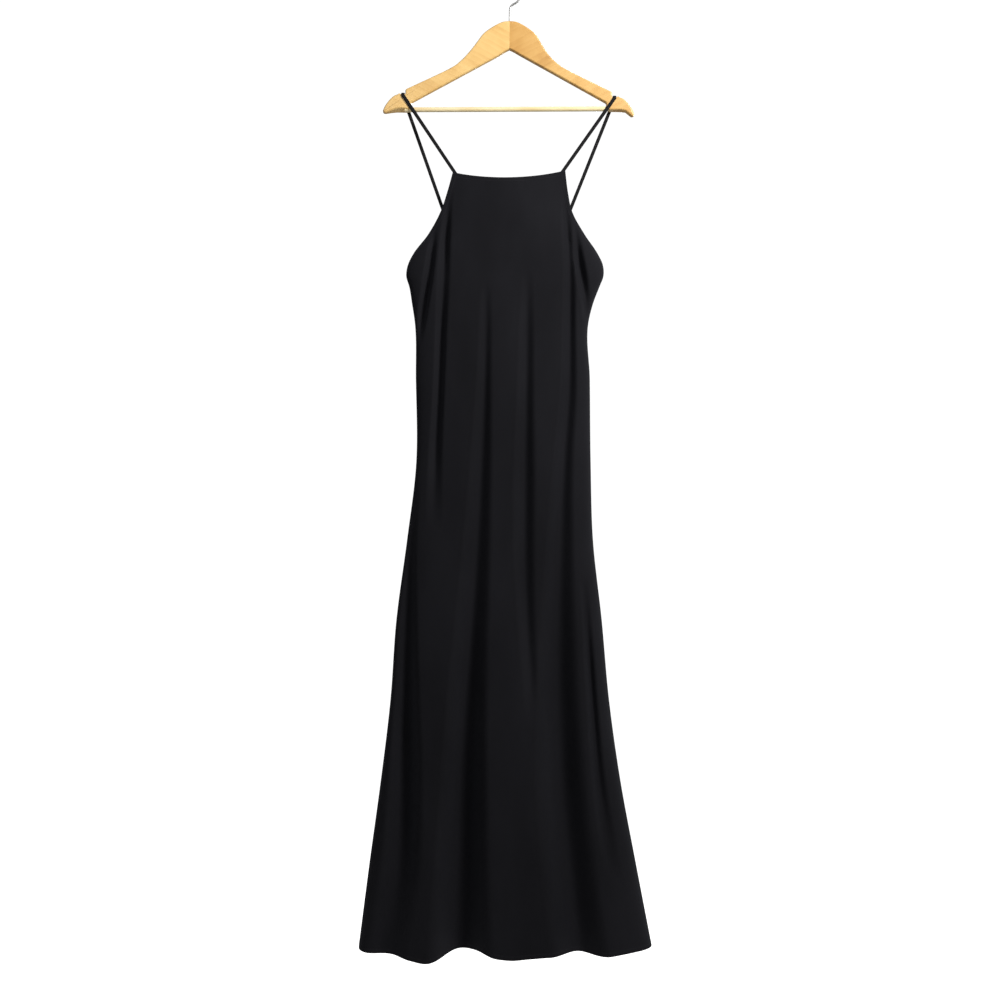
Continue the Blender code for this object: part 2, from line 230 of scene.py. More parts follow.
def makeEdgeGroup():
    # a turned and stitched edge; X of the vector is the distance in from the edge, Y runs along it
    group, start, end = newGroup(
        "turnedEdge",
        [("Vector", "NodeSocketVector", None), ("Turn", "NodeSocketFloat", 0.008),
         ("Pitch", "NodeSocketFloat", 0.0026)],
        [("Fold", "NodeSocketFloat"), ("Stitch", "NodeSocketFloat"), ("Rub", "NodeSocketFloat")])
    apart = addNode(group, "ShaderNodeSeparateXYZ")
    group.links.new(start.outputs["Vector"], apart.inputs[0])
    inward, along, turn = apart.outputs["X"], apart.outputs["Y"], start.outputs["Turn"]
    fold = mathNode(group, "DIVIDE", mathNode(group, "SUBTRACT", turn, inward), sewing["step"])
    lineAt = mathNode(group, "SUBTRACT", turn, sewing["lineIn"])
    away = mathNode(group, "ABSOLUTE", mathNode(group, "SUBTRACT", inward, lineAt))
    line = mathNode(group, "SUBTRACT", 1.0, mathNode(group, "DIVIDE", away, sewing["lineHalf"]))
    beat = mathNode(group, "FRACT", mathNode(group, "DIVIDE", along, start.outputs["Pitch"]))
    dash = mathNode(group, "LESS_THAN", beat, sewing["dash"])
    rub = mathNode(group, "SUBTRACT", 1.0, mathNode(group, "DIVIDE", inward, sewing["rubReach"]))
    for mask in (fold, line, rub):
        mask.node.use_clamp = True
    group.links.new(fold, end.inputs["Fold"])
    group.links.new(mathNode(group, "MULTIPLY", line, dash), end.inputs["Stitch"])
    group.links.new(rub, end.inputs["Rub"])
    return group


crepeGroup = makeCrepeGroup()
edgeGroup = makeEdgeGroup()
grainGroup = makeGrainGroup()


def newMaterial(name):
    material = bpy.data.materials.new(name)
    material.use_nodes = True
    return material, material.node_tree, material.node_tree.nodes["Principled BSDF"]


crepe = {
    "deep": (0.0076, 0.0075, 0.0092),
    "light": (0.0128, 0.0127, 0.0156),
    "roughness": 0.80,
    "specular": 0.05,
    "sheen": 0.05,
    "bump": 0.00022,
    "thread": (0.030, 0.030, 0.034),
    "rubbed": (0.020, 0.020, 0.023),
    "lint": (0.050, 0.050, 0.056),
    "turn": 0.008,
    "edgeMap": "edges",
}


def makeCrepe(name, settings, threads):
    material, tree, shader = newMaterial(name)
    place = addNode(tree, "ShaderNodeUVMap", uv_map="cut")
    weave = addNode(tree, "ShaderNodeGroup", node_tree=crepeGroup)
    weave.inputs["Threads"].default_value = threads
    tree.links.new(place.outputs["UV"], weave.inputs["Vector"])
    tone = mathNode(tree, "ADD", mathNode(tree, "MULTIPLY", weave.outputs["Drift"], 0.6),
                    mathNode(tree, "MULTIPLY", weave.outputs["Tone"], 0.4))
    colour = ramp(tree, tone, ((0.34, settings["deep"]), (0.66, settings["light"])))
    edgePlace = addNode(tree, "ShaderNodeUVMap", uv_map=settings["edgeMap"])
    edge = addNode(tree, "ShaderNodeGroup", node_tree=edgeGroup)
    edge.inputs["Turn"].default_value = settings["turn"]
    tree.links.new(edgePlace.outputs["UV"], edge.inputs["Vector"])
    specks = noiseNode(tree, place.outputs["UV"], 700.0, 1.0, 0.5)
    lint = ramp(tree, specks, ((0.76, (0.0, 0.0, 0.0)), (0.82, (0.5, 0.5, 0.5))))
    colour = mixColour(tree, lint, colour, settings["lint"])
    for mask, share, tint in (("Rub", 0.3, "rubbed"), ("Stitch", 0.7, "thread")):
        factor = mathNode(tree, "MULTIPLY", edge.outputs[mask], share)
        colour = mixColour(tree, factor, colour, settings[tint])
    tree.links.new(colour, shader.inputs["Base Color"])
    rough = mathNode(tree, "ADD", mathNode(tree, "MULTIPLY", weave.outputs["Tone"], 0.14),
                     settings["roughness"] - 0.07)
    tree.links.new(rough, shader.inputs["Roughness"])
    shader.inputs["Specular IOR Level"].default_value = settings["specular"]
    shader.inputs["Sheen Weight"].default_value = settings["sheen"]
    shader.inputs["Sheen Roughness"].default_value = 0.5
    shader.inputs["Sheen Tint"].default_value = (0.55, 0.58, 0.70, 1.0)
    bump = addNode(tree, "ShaderNodeBump")
    bump.inputs["Strength"].default_value = 0.6
    bump.inputs["Distance"].default_value = settings["bump"]
    sewn = mathNode(tree, "ADD", mathNode(tree, "MULTIPLY", edge.outputs["Fold"], 1.6),
                    mathNode(tree, "MULTIPLY", edge.outputs["Stitch"], 1.2))
    tree.links.new(mathNode(tree, "ADD", weave.outputs["Height"], sewn), bump.inputs["Height"])
    tree.links.new(bump.outputs["Normal"], shader.inputs["Normal"])
    return material


wood = {
    "leftStops": ((0.2, (0.64, 0.365, 0.11)), (0.5, (0.78, 0.50, 0.178)), (0.8, (0.85, 0.58, 0.235))),
    "rightStops": ((0.2, (0.46, 0.23, 0.06)), (0.5, (0.64, 0.375, 0.115)), (0.8, (0.73, 0.46, 0.165))),
    "barStops": ((0.2, (0.74, 0.55, 0.26)), (0.5, (0.87, 0.72, 0.42)), (0.8, (0.92, 0.81, 0.54))),
    "middleTone": (0.52, 0.245, 0.04), "middleReach": 0.075,      # a darker tone towards the glued middle
    "poreDark": (0.45, 0.25, 0.08),
    "roughness": 0.42,
    "coat": 0.25,
}


def makeWood(name, stops, shift, coat, grainTurn=(0, 0, 0), middleTone=0.0):
    material, tree, shader = newMaterial(name)
    place = addNode(tree, "ShaderNodeTexCoord")
    turned = mapped(tree, place.outputs["Object"], (1, 1, 1), grainTurn, shift)
    grain = addNode(tree, "ShaderNodeGroup", node_tree=grainGroup)
    grain.inputs["Rings"].default_value = 34.0
    tree.links.new(turned, grain.inputs["Vector"])
    mixed = mathNode(tree, "ADD", mathNode(tree, "MULTIPLY", grain.outputs["Rings"], 0.13),
                     mathNode(tree, "MULTIPLY", grain.outputs["Tone"], 0.87))
    colour = ramp(tree, mixed, stops)
    pores = ramp(tree, grain.outputs["Pores"], ((0.60, (0.0, 0.0, 0.0)), (0.80, (0.14, 0.14, 0.14))))
    colour = mixColour(tree, pores, colour, wood["poreDark"])
    # the colour turns darker towards the glued middle, fading out away from it
    if middleTone:
        apart = addNode(tree, "ShaderNodeSeparateXYZ")
        tree.links.new(place.outputs["Object"], apart.inputs[0])
        apartShare = mathNode(tree, "DIVIDE", apart.outputs["X"], wood["middleReach"])
        near = mathNode(tree, "SUBTRACT", 1.0, apartShare)
        near.node.use_clamp = True
        colour = mixColour(tree, mathNode(tree, "MULTIPLY", near, middleTone), colour, wood["middleTone"])
    tree.links.new(colour, shader.inputs["Base Color"])
    rough = mathNode(tree, "ADD", mathNode(tree, "MULTIPLY", grain.outputs["Tone"], 0.2),
                     wood["roughness"] - 0.1)
    tree.links.new(rough, shader.inputs["Roughness"])
    shader.inputs["Coat Weight"].default_value = coat
    shader.inputs["Coat Roughness"].default_value = 0.22
    bump = addNode(tree, "ShaderNodeBump")
    bump.inputs["Strength"].default_value = 0.35
    bump.inputs["Distance"].default_value = 0.0002
    tree.links.new(grain.outputs["Pores"], bump.inputs["Height"])
    tree.links.new(bump.outputs["Normal"], shader.inputs["Normal"])
    return material


def makeWire():
    material, tree, shader = newMaterial("wireNickel")
    place = addNode(tree, "ShaderNodeTexCoord")
    rub = noiseNode(tree, mapped(tree, place.outputs["Object"], (1, 1, 0.15)), 900.0, 3.0, 0.6)
    cloud = noiseNode(tree, place.outputs["Object"], 60.0, 3.0, 0.5)
    colour = ramp(tree, cloud, ((0.3, (0.29, 0.29, 0.285)), (0.7, (0.37, 0.365, 0.36))))
    tree.links.new(colour, shader.inputs["Base Color"])
    rough = mathNode(tree, "ADD", mathNode(tree, "MULTIPLY", rub, 0.25), 0.26)
    tree.links.new(rough, shader.inputs["Roughness"])
    shader.inputs["Metallic"].default_value = 1.0
    bump = addNode(tree, "ShaderNodeBump")
    bump.inputs["Strength"].default_value = 0.2
    bump.inputs["Distance"].default_value = 0.0001
    tree.links.new(rub, bump.inputs["Height"])
    tree.links.new(bump.outputs["Normal"], shader.inputs["Normal"])
    return material


crepeCloth = makeCrepe("dressCrepe", crepe, 450.0)
strapLook = {
    **crepe,
    "deep": (0.0045, 0.0043, 0.0048),
    "light": (0.0085, 0.0082, 0.0090),
    "thread": (0.016, 0.016, 0.018),
    "rubbed": (0.012, 0.012, 0.013),
    "roughness": 0.70,
    "specular": 0.12,
    "turn": 0.0078,
    "edgeMap": "cut",
}
strapCloth = makeCrepe("strapCrepe", strapLook, 600.0)
leftWood = makeWood("leftHalfWood", wood["leftStops"], (0.03, 0.02, 0.0), wood["coat"],
                    (0, math.radians(-28), 0))
rightWood = makeWood("rightHalfWood", wood["rightStops"], (0.11, -0.03, 0.05), wood["coat"],
                     (0, math.radians(28), 0), 0.42)
barWood = makeWood("barWood", wood["barStops"], (0.0, 0.012, 0.02), 0.08)
wireNickel = makeWire()
print("materials made")

# the two cloth panels

panelForm = {
    "round": 2.4,             # 2 is an elliptical section, more is flatter
    "neckFlat": 1.4,          # the same power at the neck, where the free edges don't turn in
    "foldLift": 0.2,          # folds are this much deeper, fading out over liftFade down to liftEnds
    "liftEnds": 1620.0,
    "liftFade": 300.0,
    "rowSpread": 0.3,         # rows of faces lie closer together near the top
    "backHemDip": 1.0,
    "foldFade": 1.6,          # folds die out towards the side seams
    "seamGap": -0.2,           # the panels just meet along the side seams
    "edgeForward": 8.0,       # the neck corners stand this far in front of the seams
    "neckDrop": (334.6, 331.5),
    "neckScoop": 12.9,
    "underarmDrop": 514.0,
    "hemDrop": 1702.0,
    "backStrapDrop": 487.0,
    "backStrapAt": 0.47,
    "backScoop": 12.0,
    "thickness": 0.9,
}

# drop, left edge, right edge, front fullness, back fullness
sections = (
    (332, -101, 97, 7, 12),
    (371, -112, 102, 12, 14),
    (403, -123, 109, 17, 16),
    (445, -146, 132, 21, 18),
    (477, -171, 154, 24, 19),
    (497, -181, 163.5, 25, 20),
    (518, -184, 164.5, 26, 20),
    (535, -179, 158, 27, 21),
    (565, -174, 146.5, 27.5, 21.5),
    (594, -169.5, 139, 28, 22),
    (700, -167, 140.5, 29, 22),
    (850, -166.5, 142, 31, 23),
    (984, -182.5, 146, 35, 25),
    (1126, -201.5, 161.5, 41, 28),
    (1268, -212, 174.5, 48, 32),
    (1410, -229, 194.5, 55, 36),
    (1552, -248.5, 221, 63, 40),
    (1702, -268, 250, 70, 45),
)
# how far the hem hangs below its level line, by its place across: x, dip
hemWave = ((-268, 4), (-228, 5.5), (-200, 4), (-172, 9), (-152, 12.5), (-131, 11), (-104, 4.5), (-76, 1),
           (-52, -3), (-21, 2.5), (0, 4.5), (34, 2), (75, 0), (116, 3.5), (140, 5.5), (171, 3.5), (213, 0),
           (250, -1))

frontPanel = {
    "name": "frontPanelCloth", "side": -1, "columns": 190, "rows": 252,
    "folds": (
        # from the left neck corner
        ((355, -106, 0, 9), (385, -110, 6, 10), (454, -114, 9, 11), (520, -117, 7, 13), (612, -121, 9, 12),
         (735, -126, 9, 12), (825, -131, 8, 14), (970, -134, 0, 18)),
        # left of the middle
        ((530, -43, 0, 10), (600, -43, 4, 12), (683, -45, 7, 14), (825, -50, 11, 20), (1020, -60, 17, 28),
         (1268, -75, 30, 38), (1570, -84, 50, 52), (1702, -87, 58, 60)),
        # right of the middle, dying out below the hip
        ((510, 30, 0, 11), (600, 29, 5, 14), (735, 27, 9, 17), (880, 25, 12, 21), (1020, 25, 11, 20),
         (1150, 30, 8, 17), (1240, 36, 4, 16), (1310, 40, 0, 18)),
        # from the right neck corner
        ((350, 96, 0, 8), (380, 98, 6, 9), (435, 101, 9, 11), (500, 104, 8, 12), (612, 104, 10, 14),
         (735, 102, 11, 17),
         (825, 95, 12, 19), (1020, 87, 17, 28), (1268, 84, 27, 42), (1410, 90, 33, 48), (1570, 104, 40, 52),
         (1702, 121, 42, 54)),
        # from the left hip
        ((880, -166, 0, 12), (984, -176, 8, 14), (1091, -181, 13, 20), (1268, -183, 22, 28),
         (1410, -184, 28, 34),
         (1570, -194, 28, 40), (1702, -220, 17, 45)),
        # a sharp crease down from the right hip
        ((1050, 128, 0, 9), (1123, 134, 4, 10), (1200, 139, 9, 11), (1288, 145, 10, 12), (1408, 155, 9, 14),
         (1469, 163, 7, 16), (1580, 180, 0, 18)),
        # under the left arm
        ((420, -133, 0, 6), (454, -136, 6, 9), (500, -141, 9, 11), (552, -149, 11, 11), (594, -156, 9, 11),
         (640, -163, 0, 9)),
        # under the right arm
        ((418, 113, 0, 6), (450, 117, 6, 9), (492, 121, 11, 12), (526, 127, 10, 12), (566, 133, 5, 10),
         (600, 134, 0, 8)),
    ),
}
backPanel = {
    "name": "backPanelCloth", "side": 1, "columns": 176, "rows": 240,
    "folds": (
        ((500, -80, 0, 14), (560, -79, 4, 15), (700, -78, 7, 18), (900, -84, 9, 24), (1200, -104, 19, 38),
         (1699, -138, 32, 58)),
        ((640, 12, 0, 16), (760, 11, 4, 20), (900, 8, 8, 26), (1250, 0, 19, 42), (1699, -12, 34, 62)),
        ((500, 66, 0, 14), (560, 67, 4, 15), (700, 68, 7, 18), (900, 70, 9, 24), (1230, 88, 17, 38),
         (1699, 116, 30, 54)),
        ((980, -158, 0, 16), (1150, -170, 7, 22), (1300, -182, 11, 28), (1699, -214, 16, 38)),
        ((1040, 128, 0, 16), (1200, 143, 6, 22), (1330, 156, 10, 28), (1699, 196, 15, 38)),
    ),
}


def troughDepth(folds, x, drop):
    total = np.zeros_like(x)
    lift = 1 + panelForm["foldLift"] * ease((panelForm["liftEnds"] - drop) / panelForm["liftFade"])
    for stations in folds:
        inside = drop > stations[0][0]
        reach = np.abs(x - alongTable(stations, 1, drop)) / alongTable(stations, 3, drop)
        depth = np.maximum(alongTable(stations, 2, drop), 0.0)
        depth = depth * lift
        trough = depth * 0.5 * (1 + np.cos(math.pi * np.minimum(reach, 1)))
        total += np.where(inside & (reach < 1), trough, 0.0)
    return total


def frontTop(u):
    low, high = panelForm["neckDrop"]
    return low + (high - low) * (u + 1) / 2 + panelForm["neckScoop"] * (1 - u * u)


def backTop(u):
    at = panelForm["backStrapAt"]
    drop = panelForm["backStrapDrop"]
    outer = np.clip((np.abs(u) - at) / (1 - at), 0, 1)
    middle = panelForm["backScoop"] * (1 - np.clip(np.abs(u) / at, 0, 1) ** 2)
    return drop + (panelForm["underarmDrop"] - drop) * outer ** 1.5 + middle


def panelPoint(panel, u, drop):
    left = alongTable(sections, 1, drop)
    right = alongTable(sections, 2, drop)
    x = left + (right - left) * (u + 1) / 2
    side = panel["side"]
    topmost = panelForm["neckDrop"][0]
    armholeHigh = panelForm["underarmDrop"] - topmost
    above = ease((panelForm["underarmDrop"] - drop) / armholeHigh) if side < 0 else 0.0
    power = 1 / panelForm["round"] + (panelForm["neckFlat"] - 1 / panelForm["round"]) * above
    swell = np.maximum(1 - np.abs(u) ** panelForm["round"], 0.0) ** power
    fullness = alongTable(sections, 3 if side < 0 else 4, drop) * swell
    folds = troughDepth(panel["folds"], x, drop) * np.minimum(swell * panelForm["foldFade"], 1.0)
    y = side * (panelForm["seamGap"] / 2 + panelForm["edgeForward"] * above + fullness - folds)
    return np.stack([x, y, -drop], axis=-1)


def makePanel(panel):
    columns, rows = panel["columns"], panel["rows"]
    top = frontTop if panel["side"] < 0 else backTop
    u = -np.cos(np.pi * np.arange(columns + 1) / columns)
    t = np.arange(rows + 1) / rows
    topDrop = top(u)[None, :]
    hemAt = sections[-1][1] + (sections[-1][2] - sections[-1][1]) * (u + 1) / 2
    hemDip = alongTable(hemWave, 1, hemAt) if panel["side"] < 0 else np.full_like(u, panelForm["backHemDip"])
    hemDrop = (panelForm["hemDrop"] + hemDip)[None, :]
    spread = (1 - panelForm["rowSpread"]) * t + panelForm["rowSpread"] * t * t
    drop = topDrop + (hemDrop - topDrop) * spread[:, None]
    points = panelPoint(panel, np.broadcast_to(u, drop.shape), drop)
    verts = (points * mm).reshape(-1, 3)
    wide = columns + 1
    faces = []
    for j in range(rows):
        for i in range(columns):
            corner = j * wide + i
            quad = (corner, corner + wide, corner + wide + 1, corner + 1)
            faces.append(quad if panel["side"] < 0 else quad[::-1])
    piece = pieceFromMesh(panel["name"], verts, faces, crepeCloth)
    # the cloth's own measure, across and down, for the weave
    steps = np.linalg.norm(np.diff(points, axis=1), axis=2)
    across = np.concatenate([np.zeros((rows + 1, 1)), np.cumsum(steps, axis=1)], axis=1)
    across -= across[:, columns // 2][:, None]
    cut = np.stack([across * mm, -drop * mm], axis=-1).reshape(-1, 2)
    layer = piece.data.uv_layers.new(name="cut")
    corners = np.empty(len(piece.data.loops), dtype=int)
    piece.data.loops.foreach_get("vertex_index", corners)
    layer.data.foreach_set("uv", cut[corners].astype(np.float32).ravel())
    # how far in from the nearest turned edge, and how far along it, for the stitching
    fromTop, fromHem = drop - topDrop, hemDrop - drop
    fromSide = np.minimum(across - across[:, :1], across[:, -1:] - across)
    fromArmhole = fromSide + np.maximum(drop - panelForm["underarmDrop"], 0)
    inward = np.minimum(np.minimum(fromTop, fromHem), fromArmhole)
    along = np.where(fromArmhole < np.minimum(fromTop, fromHem), drop, across)
    edges = np.stack([inward * mm, along * mm], axis=-1).reshape(-1, 2)
    layer = piece.data.uv_layers.new(name="edges")
    layer.data.foreach_set("uv", edges[corners].astype(np.float32).ravel())
    area = sum(face.area for face in piece.data.polygons)
    wall = piece.modifiers.new("wall", "SOLIDIFY")
    wall.thickness = panelForm["thickness"] * mm
    wall.offset = 0.0
    applyModifiers(piece)
    makeActive(piece)
    bpy.ops.object.shade_smooth_by_angle(angle=math.radians(50))
    hemWidth = float(across[-1, -1] - across[-1, 0])
    print(panel["name"], "area", round(area, 4), "hem width", round(hemWidth, 1))
    return piece, area


frontCloth, frontArea = makePanel(frontPanel)
backCloth, backArea = makePanel(backPanel)

# hanger, drawn level and hung a little out of level

hanger = {
    "woodTop": 66.0, "woodThick": 12.0, "woodEdge": 3.0, "tilt": math.radians(0.8),
    "notchX": 187.2, "notchDeep": 131.8, "glueLine": 0.02, "barRadius": 4.25, "barReach": 184.0,
    "barDrop": {-1: 158.8, 1: 152.0}, "socketWall": 0.8, "scoop": {-1: 7.0, 1: 2.5},
    "armTop": {-1: ((0, 0), (13, 1.8), (30, 10.5), (46, 22.5), (57, 37), (69, 53), (86, 71.5), (108, 87),
                    (181, 122.6)),
               1: ((0, 0), (13, 1.8), (30, 10.5), (46, 23), (57, 40), (69, 58), (86, 74.5), (108, 87.8),
                   (181, 122.6))},
    "endCap": ((197, 132.6), (204, 135.8), (212.5, 144.2), (219.3, 154.2), (222.4, 161.6)),
    "armUnder": {-1: ((172, 146.8), (20, 62.0), (9, 54.8), (0, 50)),
                 1: ((172, 142.4), (20, 60.5), (9, 54.2), (0, 50))},
    "scoopFrom": 173, "scoopTo": 215, "scoopHigh": 12,
    "hookWire": 1.8, "hookInside": 17.0, "hookBend": 12.0, "hookSeat": 26.0, "hookTip": 186.0,
}
tilt = Matrix.Rotation(hanger["tilt"], 4, "Y")


def smoothOutline(points, steps):
    knots = np.linspace(0, 1, len(points))
    table = [(k, x, drop) for k, (x, drop) in zip(knots, points)]
    at = np.linspace(0, 1, (len(points) - 1) * steps + 1)
    return list(zip(alongTable(table, 1, at), alongTable(table, 2, at)))


def armOutline(side):
    lobe = hanger["barDrop"][side] + hanger["barRadius"] + hanger["socketWall"]
    x, deep = hanger["notchX"], hanger["notchDeep"]
    outline = smoothOutline(hanger["armTop"][side], 6)
    outline += [(183.2, 125.2), (x - 4.0, deep), (x + 4.6, deep), (x + 6.4, deep - 1.4)]
    outline += smoothOutline(hanger["endCap"], 6)
    outline += smoothOutline(((222.3, 163.6), (221, 165.2), (217.6, 165.8)), 3)
    outline += [(207, lobe + 0.8), (197, lobe), (188, lobe), (179, lobe)]
    outline += smoothOutline(((179, lobe), (175.4, lobe - 2.5), (174, lobe - 7)), 3)[1:]
    outline += hanger["armUnder"][side]
    return outline


def makeArm(name, side, material):
    outline = armOutline(side)
    deselectAll()
    bpy.ops.mesh.primitive_circle_add(vertices=len(outline), radius=0.2, fill_type="NGON", location=(0, 0, 0))
    arm = bpy.context.object
    arm.name = name
    half = hanger["woodThick"] / 2
    for vert, (x, drop) in zip(arm.data.vertices, outline if side < 0 else outline[::-1]):
        vert.co = Vector((side * max(x, hanger["glueLine"]), -half, -(hanger["woodTop"] + drop))) * mm
    bpy.ops.object.mode_set(mode="EDIT")
    bpy.ops.mesh.select_all(action="SELECT")
    bpy.ops.mesh.extrude_region_move(TRANSFORM_OT_translate={"value": (0, hanger["woodThick"] * mm, 0)})
    bpy.ops.mesh.select_all(action="SELECT")
    bpy.ops.mesh.normals_make_consistent(inside=False)
    bpy.ops.mesh.select_mode(type="EDGE")
    bpy.ops.mesh.select_all(action="DESELECT")
    bpy.ops.object.mode_set(mode="OBJECT")
    # every edge round the front and back faces, apart from those on the glued middle
    places = [vert.co / mm for vert in arm.data.vertices]
    for edge in arm.data.edges:
        a, b = (places[i] for i in edge.vertices)
        level = abs(a.y - b.y) < 0.01
        glued = max(abs(a.x), abs(b.x)) < 0.5
        edge.select = level and not glued
    bpy.ops.object.mode_set(mode="EDIT")
    bpy.ops.mesh.select_mode(type="EDGE")
    bpy.ops.mesh.bevel(offset=hanger["woodEdge"] * mm, segments=6, profile=0.5, affect="EDGES",
                       clamp_overlap=False)
    bpy.ops.object.mode_set(mode="OBJECT")
    # the end is scooped out underneath, towards the front
    lobe = hanger["barDrop"][side] + hanger["barRadius"] + hanger["socketWall"]
    for vert in arm.data.vertices:
        out, drop = abs(vert.co.x) / mm, -vert.co.z / mm - hanger["woodTop"]
        low = min(max((drop - lobe + hanger["scoopHigh"]) / hanger["scoopHigh"], 0), 1)
        forward = 0.5 - vert.co.y / mm / hanger["woodThick"]
        inward = min(max(min((out - hanger["scoopFrom"]) / 8, (hanger["scoopTo"] - out) / 15), 0), 1)
        vert.co.z += hanger["scoop"][side] * mm * low * forward * inward
    arm.data.materials.append(material)
    arm.data.transform(tilt)
    makeActive(arm)
    bpy.ops.object.shade_smooth_by_angle(angle=math.radians(32))
    flat = arm.modifiers.new("flatFaces", "WEIGHTED_NORMAL")
    flat.keep_sharp = True
    applyModifiers(arm)
    return arm


leftArm = makeArm("hangerHalfLeftWood", -1, leftWood)
rightArm = makeArm("hangerHalfRightWood", 1, rightWood)


def makeBar():
    ends = [hung(side * hanger["barReach"], 0, hanger["barDrop"][side]) * mm for side in (-1, 1)]
    along = ends[1] - ends[0]
    deselectAll()
    bpy.ops.mesh.primitive_cylinder_add(vertices=48, radius=hanger["barRadius"] * mm, depth=along.length,
                                        location=(ends[0] + ends[1]) / 2,
                                        rotation=along.to_track_quat("Z", "Y").to_euler())
    bar = bpy.context.object
    bar.name = "hangerBarWood"
    bpy.ops.object.transform_apply(location=True, rotation=True, scale=True)
    bar.data.materials.append(barWood)
    bpy.ops.object.shade_smooth_by_angle(angle=math.radians(40))
    return bar


def makeHook():
    wire, bend = hanger["hookWire"], hanger["hookBend"]
    loop = hanger["hookInside"] + wire
    rise = math.sqrt((loop + bend) ** 2 - bend ** 2)
    bendDrop = hanger["hookInside"] + rise
    meet = math.atan2(rise, bend)
    seat = hanger["woodTop"] + hanger["hookSeat"]
    deselectAll()
    bpy.ops.mesh.primitive_circle_add(vertices=28, radius=wire * mm, fill_type="NGON",
                                      location=(0, 0, -seat * mm))
    hook = bpy.context.object
    hook.name = "hangerHookWire"
    bpy.ops.object.transform_apply(location=True, rotation=True, scale=True)
    bpy.ops.object.mode_set(mode="EDIT")
    bpy.ops.mesh.select_all(action="SELECT")
    bpy.ops.mesh.extrude_region_move(TRANSFORM_OT_translate={"value": (0, 0, (seat - bendDrop) * mm)})
    bpy.ops.mesh.spin(steps=14, angle=-meet, center=(bend * mm, 0, -bendDrop * mm), axis=(0, 1, 0))
    bpy.ops.mesh.spin(steps=72, angle=math.radians(hanger["hookTip"]) + meet,
                      center=(0, 0, -hanger["hookInside"] * mm), axis=(0, 1, 0))
    bpy.ops.mesh.bevel(offset=wire * 0.6 * mm, segments=4, affect="EDGES")    # the tip is rounded off
    bpy.ops.mesh.select_all(action="SELECT")
    bpy.ops.mesh.normals_make_consistent(inside=False)
    bpy.ops.object.mode_set(mode="OBJECT")
    hook.data.materials.append(wireNickel)
    hook.data.transform(tilt)
    makeActive(hook)
    bpy.ops.object.shade_smooth_by_angle(angle=math.radians(40))
    return hook


def sweepTube(name, path, normals, outline, material):
    # an outline carried along a path; the first UV runs round it and the second along it, in metres
    verts, faces, uvs = [], [], []
    count = len(outline)
    lengths = [0.0]
    for near, far in zip(path, path[1:]):
        lengths.append(lengths[-1] + (far - near).length * mm)
    girth = [0.0]
    for near, far in zip(outline, outline[1:] + outline[:1]):
        girth.append(girth[-1] + math.dist(near, far) * mm)
    for k, place in enumerate(path):
        tangent = (path[min(k + 1, len(path) - 1)] - path[max(k - 1, 0)]).normalized()
        across = tangent.cross(normals[k]).normalized()
        out = across.cross(tangent)
        verts += [(place + across * a + out * b) * mm for a, b in outline]
    for k in range(len(path) - 1):
        for i in range(count):
            j = (i + 1) % count
            faces.append((k * count + i, (k + 1) * count + i, (k + 1) * count + j, k * count + j))
            uvs += [(girth[i], lengths[k]), (girth[i], lengths[k + 1]),
                    (girth[i + 1], lengths[k + 1]), (girth[i + 1], lengths[k])]
    last = (len(path) - 1) * count
    faces.append(tuple(range(count)))
    faces.append(tuple(last + i for i in range(count))[::-1])
    uvs += [(a * mm, b * mm) for a, b in outline] * 2
    piece = pieceFromMesh(name, verts, faces, material)
    layer = piece.data.uv_layers.new(name="cut")
    layer.data.foreach_set("uv", np.array(uvs, dtype=np.float32).ravel())
    makeActive(piece)
    bpy.ops.object.mode_set(mode="EDIT")
    bpy.ops.mesh.select_all(action="SELECT")
    bpy.ops.mesh.normals_make_consistent(inside=False)
    bpy.ops.object.mode_set(mode="OBJECT")
    bpy.ops.object.shade_smooth_by_angle(angle=math.radians(50))
    return piece


def hung(x, y, drop):
    return tilt @ Vector((x, y, -(hanger["woodTop"] + drop)))


barPiece = makeBar()
hookPiece = makeHook()
print("hanger made")

# straps: narrow turned tubes pressed flat, sewn behind each panel

strap = {"wide": 6.2, "thick": 1.9, "tuck": 9.0, "clear": 0.55, "frontAt": 0.955, "roundSteps": 5,
         "frontSteps": 24, "backSteps": 36, "overSteps": 8, "off": 0.3}


def strapOutline():
    half = strap["thick"] / 2
    flat = strap["wide"] / 2 - half
    steps = strap["roundSteps"]
    points = []
    for centre, start in ((flat, -90), (-flat, 90)):
        for i in range(steps + 1):
            angle = math.radians(start + 180 * i / steps)
            points.append((centre + half * math.cos(angle), half * math.sin(angle)))
    return points


def pointAt(panel, u, drop):
    return Vector(panelPoint(panel, np.array([u]), np.array([float(drop)]))[0])


def facing(panel, u, drop):
    across = pointAt(panel, u + 0.002, drop) - pointAt(panel, u - 0.002, drop)
    down = pointAt(panel, u, drop + 1) - pointAt(panel, u, drop - 1)
    normal = across.cross(down).normalized()
    return normal if normal.y * panel["side"] > 0 else -normal


def tuckPoints(panel, top, uAt, runFrom):
    clear = panelForm["thickness"] / 2 + strap["clear"] + strap["thick"] / 2
    mouth = pointAt(panel, uAt, float(top(np.array([uAt]))[0]) + 0.5)
    heading = mouth - runFrom
    slope = heading.x / -heading.z
    deepDrop = -mouth.z + strap["tuck"] / math.hypot(1, slope)
    left = float(alongTable(sections, 1, deepDrop))
    right = float(alongTable(sections, 2, deepDrop))
    deepU = 2 * (mouth.x + slope * (deepDrop + mouth.z) - left) / (right - left) - 1
    places, outward = [], []
    for u, drop in ((deepU, deepDrop), (uAt, -mouth.z)):
        outward.append(facing(panel, u, drop))
        places.append(pointAt(panel, u, drop) - outward[-1] * clear)
    return places, outward


